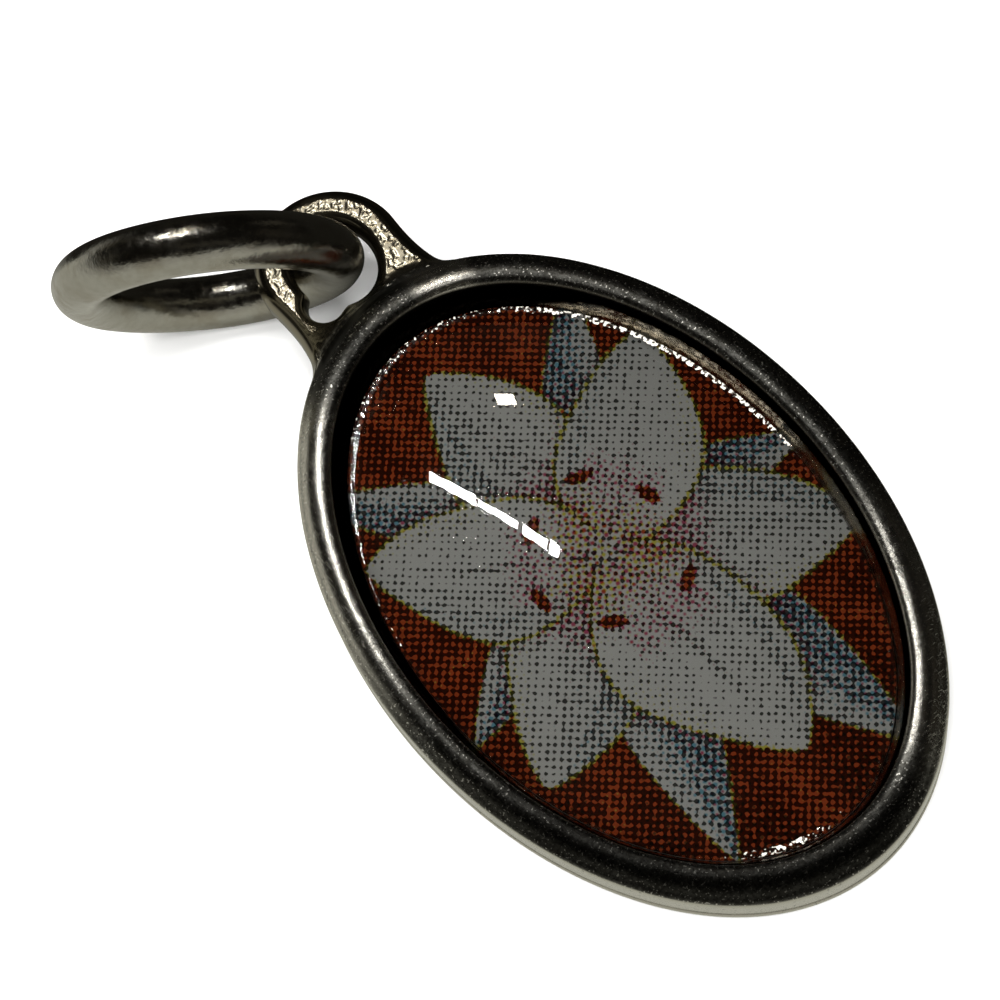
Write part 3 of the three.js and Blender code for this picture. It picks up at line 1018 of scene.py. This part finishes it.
def cast_tone(s, places, mark, crown, groove, patch):
    """Worn silver, brightened in bands as a painted highlight, gilt on the lug, and over them grooves,
    painted shade, pits and bright flecks that are painted glints.
    """
    worn = s.ramp(s.noise(places, 9.0, 4.0, 0.7), 0.46, 0.56)
    # Bright flecks on the crown: painted glints
    dust_and_glint_speck = s.ramp(s.noise(places, 13.0, 1.0), 0.64, 0.7)
    pit = s.ramp(s.noise(places, 9.0, 2.0), 0.36, 0.3)
    silver = s.mix(s.ramp(s.noise(places, 1.1, 3.0, 0.6), 0.35, 0.65), "silver", "silver_dark")
    silver = s.mix(s.times(worn, 0.75), silver, "worn")
    # Painted highlight: the crown's colour brightened in the bands where the lamps' highlights fall
    silver = s.mix(mark["polish_and_highlight"], silver, "painted_highlight")
    silver = s.mix(mark["wall"], silver, "wall")
    silver = s.mix(mark["slope"], silver, "slope")
    gilt = s.mix(s.ramp(patch, 0.42, 0.58), "gilt", "gilt_dark")
    gilt = s.mix(s.ramp(mark["stipple"], 0.4, 0.0), gilt, "lug_side")
    toned = s.mix(mark["lug"], silver, gilt)
    toned = s.mix(mark["ledge"], toned, "ledge")
    toned = s.mix(groove, toned, "groove")
    # Painted shade: the recess, all of it at the lug's end, and the crown's -X side darkened
    toned = s.mix(mark["shade"], toned, "painted_shade")
    toned = s.mix(s.times(pit, 0.45), toned, "pit")
    # The painted glints show on the crown, least where its painted shade is
    unshaded_crown = s.most(s.times(crown, s.less(1.0, s.times(mark["shade"], 1.15))), 0.0)
    return s.mix(s.times(dust_and_glint_speck, unshaded_crown), toned, "dust_and_glint_speck")


def cast_roughness(s, mark, crown, patch, fine):
    mottle = s.plus(s.times(patch, 0.5), s.times(fine, 0.5))
    satin, bright = s.ramp(mottle, 0.36, 0.64, 0.28, 0.42), s.ramp(mottle, 0.36, 0.64, 0.15, 0.26)
    smooth_parts = s.ramp(mark["stipple"], 0.0, 0.5, 0.15, 0.22)
    return s.between(crown, smooth_parts, s.between(mark["polish_and_highlight"], satin, bright))


def cast_relief(s, mark, pebble, patch, fine):
    """Fine unevenness all over, radial grain on the recess's slope, scratches, and the lug's pebbles."""
    normal = s.bump(patch, 0.01, s.bump(fine, 0.003))
    radial = s.noise(s.places(attribute="rim"), 12.0, 2.0, 0.6)
    grain = s.plus(s.times(mark["slope"], 0.6), s.plus(s.times(mark["ledge"], 2.5), 0.06))
    normal = s.bump(s.times(radial, grain), 0.02, normal)
    lines = s.ramp(s.noise(s.places((30, 2.2, 6)), 1.0, 1.0), 0.62, 0.7)
    crossed = s.ramp(s.noise(s.places((3, 26, 6)), 1.0, 1.0), 0.64, 0.7)
    normal = s.bump(s.most(lines, crossed), -0.003, normal)
    return s.bump(s.times(pebble, mark["stipple"]), 0.04, normal)


def cast_metal():
    """Worn silver-coloured casting: satin crown, recess with radial grain darkened as painted shade, gilt
    stippled lug.
    """
    s = Material("cast_metal")
    places = s.places()
    mark = {name: s.attribute(name) for name in CASE_MARKS}
    patch, fine = s.noise(places, 4.0, 4.0, 0.65), s.noise(places, 30.0, 3.0, 0.75)
    crown = s.less(1.0, s.most(s.most(mark["slope"], mark["wall"]), mark["lug"]))
    pebble, groove = stipple_cells(s, places, mark)
    return s.finish(s.made(
        "BsdfPrincipled",
        Base_Color=cast_tone(s, places, mark, crown, groove, patch),
        Metallic=1.0,
        Roughness=cast_roughness(s, mark, crown, patch, fine),
        Normal=cast_relief(s, mark, pebble, patch, fine),
        # The edge tint dims grazing reflections in the painted shade and in the grooves
        Specular_Tint=s.mix(s.most(mark["shade"], groove), "white", "shade_and_groove_edge"),
    ))


def wire_metal():
    """Polished wire with fine wear."""
    s = Material("wire_metal")
    places = s.places()
    cloud = s.noise(places, 0.9, 3.0, 0.6)
    patch = s.noise(places, 3.0, 3.0, 0.6)
    fine = s.noise(places, 26.0, 3.0, 0.7)
    colour = s.mix(s.ramp(cloud, 0.35, 0.7), "wire", "wire_dark")
    rough = s.ramp(s.plus(s.times(patch, 0.7), s.times(fine, 0.3)), 0.4, 0.62, 0.1, 0.25)
    normal = s.bump(patch, 0.022, s.bump(fine, 0.003))
    metal = s.made("BsdfPrincipled", Base_Color=colour, Metallic=1.0, Roughness=rough, Normal=normal)
    return s.finish(metal)


SCREEN_PITCH = 0.209
SCREEN_ANGLE = -0.7478

# Each ink: its screen's turn, how soft its dots are, and how ragged
INKS = (
    ("cyan", math.radians(30), 0.5, 0.5),
    ("magenta", math.radians(-30), 0.5, 0.5),
    ("yellow", math.radians(15), 0.5, 0.5),
    ("black", 0.0, 0.24, 2.3),
)


def printed_card():
    """Four halftone screens of ink on card, from the levels in the print's own attribute."""
    s = Material("printed_card")
    levels = s.node("Attribute", attribute_name="inks").outputs
    parts = s.node("SeparateColor", {"Color": levels["Color"]}).outputs
    places = s.places()
    worms = s.less(s.noise(places, 7.5, 1.0, 0.5), 0.5)
    tints = [*((*tint, 1.0) for tint in 1 - INK_TAKES), "black_ink"]
    # Painted shade: the paper's colour darkened by its share
    colour = (*(PAPER * PAPER_SHADE_SHARE), 1.0)
    for (_, turn, soft, ragged), tint, level in zip(INKS, tints, [*parts[:3], levels["Alpha"]]):
        size = FULL_TURN / SCREEN_PITCH
        turned = {"Vector": places, "Rotation": (0, 0, -(SCREEN_ANGLE + turn)), "Scale": (size,) * 3}
        axes = s.axes(s.node("Mapping", turned).outputs["Vector"])
        wave = s.times(s.plus(s.math("COSINE", axes[0]), s.math("COSINE", axes[1])), 0.5)
        over = s.less(s.plus(wave, s.times(worms, ragged)), level)
        colour = s.mix(1.0, colour, s.mix(s.ramp(over, -soft, soft), "white", tint), "MULTIPLY")
    colour = s.mix(s.attribute("face"), "card_back", colour)
    return s.finish(s.made("BsdfPrincipled", Base_Color=colour, Roughness=0.6, Specular_IOR_Level=0.0))


def clear_resin():
    """Clear cast resin: what is below shows through, under a gloss with a little dust in it, and its narrow
    rim has pale matt beads, a painted highlight that stands for the glints along its edge."""
    s = Material("clear_resin")
    places = s.places()
    rim, dome = s.attribute("rim"), s.attribute("dome")
    normal = s.bump(s.noise(places, 1.2, 1.0), 0.001)
    dust_and_glint_speck = s.ramp(s.noise(places, 11.0, 1.0), 0.72, 0.76)
    rough = s.plus(s.ramp(s.noise(places, 6.0, 3.0, 0.7), 0.45, 0.7, 0.015, 0.035), s.times(dust_and_glint_speck, 0.2))
    rough = s.plus(rough, s.times(rim, 0.12))
    gloss = s.made("BsdfGlossy", Color="white", Roughness=rough, Normal=normal)
    clear = s.made("BsdfTransparent", Color="resin")
    glint_beads = s.made("BsdfDiffuse", Color="glint_bead_tone")
    shine = s.made("Fresnel", IOR=1.5, Normal=normal)
    share = s.times(s.most(shine, s.times(rim, 0.1)), dome)
    # Painted highlight: pale matt beads on the rim stand for the glints along its edge
    bead = s.ramp(s.plus(s.noise(places, 8.5, 1.0, 0.5), s.times(rim, 0.4)), 0.84, 0.98)
    bead = s.times(bead, s.times(s.ramp(rim, 0.0, 0.3), dome))
    glossy = s.node("MixShader", {0: share, 1: clear, 2: gloss}).outputs[0]
    return s.finish(s.node("MixShader", {0: bead, 1: glossy, 2: glint_beads}).outputs[0])


def plain_floor():
    """Pale matt floor. In the metal it shows as a painted reflection, a glow: dimmer, and dark towards +X and
    +Y, as in a half-dark room.
    """
    s = Material("floor")
    places = s.node("TexCoord").outputs["Object"]
    colour = s.mix(s.noise(places, 60.0, 2.0), "floor", "floor_light")
    pale = s.made("BsdfPrincipled", Base_Color=colour, Roughness=0.8)
    axes = s.axes(places)
    # Painted shade in the floor's reflection: dark towards +X and +Y
    lit = s.ramp(s.plus(axes[0], s.times(axes[1], 0.5)), 6 * MM, -1 * MM)
    dim = s.made("Emission", Color=s.mix(lit, "mirrored_floor_dark", "mirrored_floor"))
    mirrored = s.node("LightPath").outputs["Is Glossy Ray"]
    return s.finish(s.node("MixShader", {0: mirrored, 1: pale, 2: dim}).outputs[0])


# Stage, lights and camera

def in_row(place):
    """A place in the medal's own frame, in millimetres, as a point of the row's frame."""
    return medal @ (Vector(place) * MM)


FLOOR_REACH = 0.6


def floor():
    mesh = bpy.data.meshes.new("floor")
    corners = [(x * FLOOR_REACH, y * FLOOR_REACH, 0) for x, y in ((-1, -1), (1, -1), (1, 1), (-1, 1))]
    mesh.from_pydata(corners, [], [(0, 1, 2, 3)])
    plane = add_object("floor", mesh)
    mesh.materials.append(plain_floor())
    return plane


def lamp(name, place, target, side, size, power, colour):
    """A flat lamp that faces a target, with its width along a direction, all in the row's frame."""
    data = bpy.data.lights.new(name, "AREA")
    data.shape = "RECTANGLE"
    data.size, data.size_y = size
    data.energy = power
    data.color = colour
    light = add_object(name, data)
    back = (place - target).normalized()
    across = (side - side.dot(back) * back).normalized()
    up = back.cross(across)
    light.matrix_world = Matrix.Translation(place) @ Matrix((across, up, back)).transposed().to_4x4()
    return light


LAMP_DISTANCE = 300.0

# Places on the dome where the two lamps show, and the directions that they lie in from there
WINDOW_SPOT = Vector((0.94, 5.96, 1.21))
WINDOW_WAY = Vector((0.225, 0.522, 0.823))
WINDOW_SIDE = Vector((0.033, -0.019, 0.003))
WINDOW_SIZE = (0.0116, 0.0078)
WINDOW_POWER = 0.016
WINDOW_COLOUR = (1.0, 0.93, 0.8)
TUBE_SPOTS = (Vector((-2.17, 5.59, 1.18)), Vector((-0.94, 1.3, 1.45)))
TUBE_WAYS = (Vector((-0.029, 0.517, 0.855)), Vector((0.099, 0.324, 0.941)))

# The tube's lit parts, each with its start and end as shares of the whole, and its width
TUBE_PARTS = ((0.0, 0.4, 0.0058), (0.42, 0.72, 0.0036), (0.76, 0.93, 0.0046), (0.95, 1.0, 0.0066))
TUBE_GLOW = 290.0
TUBE_COLOUR = (1.0, 0.99, 0.96)

# The wide lamp, in metres in the row's frame
FILL_PLACE = Vector((-0.1, -0.1, 0.6))
FILL_SIDE = Vector((1, 0, 0))
FILL_SIZE = (0.7, 0.7)
FILL_POWER = 11.0


def lights(matt):
    """Two small lamps that show in the gloss, and a wide one that lights only what is matt."""
    target = in_row((0, 3, 1))
    place = in_row(WINDOW_SPOT + WINDOW_WAY.normalized() * LAMP_DISTANCE)
    side = medal.to_3x3() @ WINDOW_SIDE
    lamp("square_lamp", place, target, side, WINDOW_SIZE, WINDOW_POWER, WINDOW_COLOUR)
    ends = [in_row(spot + way.normalized() * LAMP_DISTANCE) for spot, way in zip(TUBE_SPOTS, TUBE_WAYS)]
    span = ends[1] - ends[0]
    for number, (start, end, width) in enumerate(TUBE_PARTS):
        middle = ends[0] + (start + end) / 2 * span
        length = (end - start) * span.length
        power = TUBE_GLOW * length * width
        lamp(f"tube_lamp_{number}", middle, target, span, (length, width), power, TUBE_COLOUR)
    fill = lamp("fill", FILL_PLACE, Vector(), FILL_SIDE, FILL_SIZE, FILL_POWER, TONES["white"])
    fill.visible_glossy = False
    receivers = bpy.data.collections.new("lit_by_fill")
    for piece in matt:
        receivers.objects.link(piece)
    fill.light_linking.receiver_collection = receivers


def surroundings():
    """A dark room with a few soft lighter areas, and pale walls low on its -X and -Y sides."""
    world = bpy.data.worlds.new("room")
    bpy.context.scene.world = world
    world.use_nodes = True
    world.cycles.sampling_method = "NONE"
    s = Nodes(world.node_tree)
    way = s.node("TexCoord").outputs["Generated"]
    x, y, z = s.axes(way)
    room = s.mix(s.ramp(s.noise(way, 2.3, 2.0, 0.5), 0.5, 0.72), "room_dark", "room")
    left = s.times(s.ramp(x, 0.2, -0.5), s.ramp(y, -0.45, 0.1))
    near_side = s.times(s.ramp(x, 0.5, -0.2), s.ramp(y, 0.1, -0.4))
    walls = s.most(s.times(s.ramp(z, 0.42, 0.05), left), s.times(s.ramp(z, 0.46, 0.3), near_side))
    colour = s.mix(s.node("LightPath").outputs["Is Camera Ray"], s.mix(walls, room, "room_pale"), "backdrop")
    s.node("OutputWorld", {"Surface": s.made("Background", Color=colour, Strength=1.0)})


def camera():
    data = bpy.data.cameras.new("camera")
    data.lens = CAMERA_LENS
    data.clip_start = 0.001
    data.clip_end = 10.0
    view = add_object("camera", data)
    back = (CAMERA_PLACE - CAMERA_AIM).normalized()
    level = Vector((0, 1, 0)).cross(back).normalized()
    upright = back.cross(level)
    right = math.cos(CAMERA_ROLL) * level + math.sin(CAMERA_ROLL) * upright
    up = back.cross(right)
    turn = Matrix((right, up, back)).transposed().to_4x4()
    view.matrix_world = medal @ Matrix.Translation(CAMERA_PLACE * MM) @ turn
    bpy.context.scene.camera = view


def dress(piece, material):
    piece.data.materials.clear()
    piece.data.materials.append(material)


camera()
dress(case_piece(), cast_metal())
picture = print_piece()
dress(picture, printed_card())
cover = cover_piece()
dress(cover, clear_resin())
dress(ring_piece(), wire_metal())
lights([floor(), picture, cover])
surroundings()
bpy.context.scene.view_settings.view_transform = "Standard"
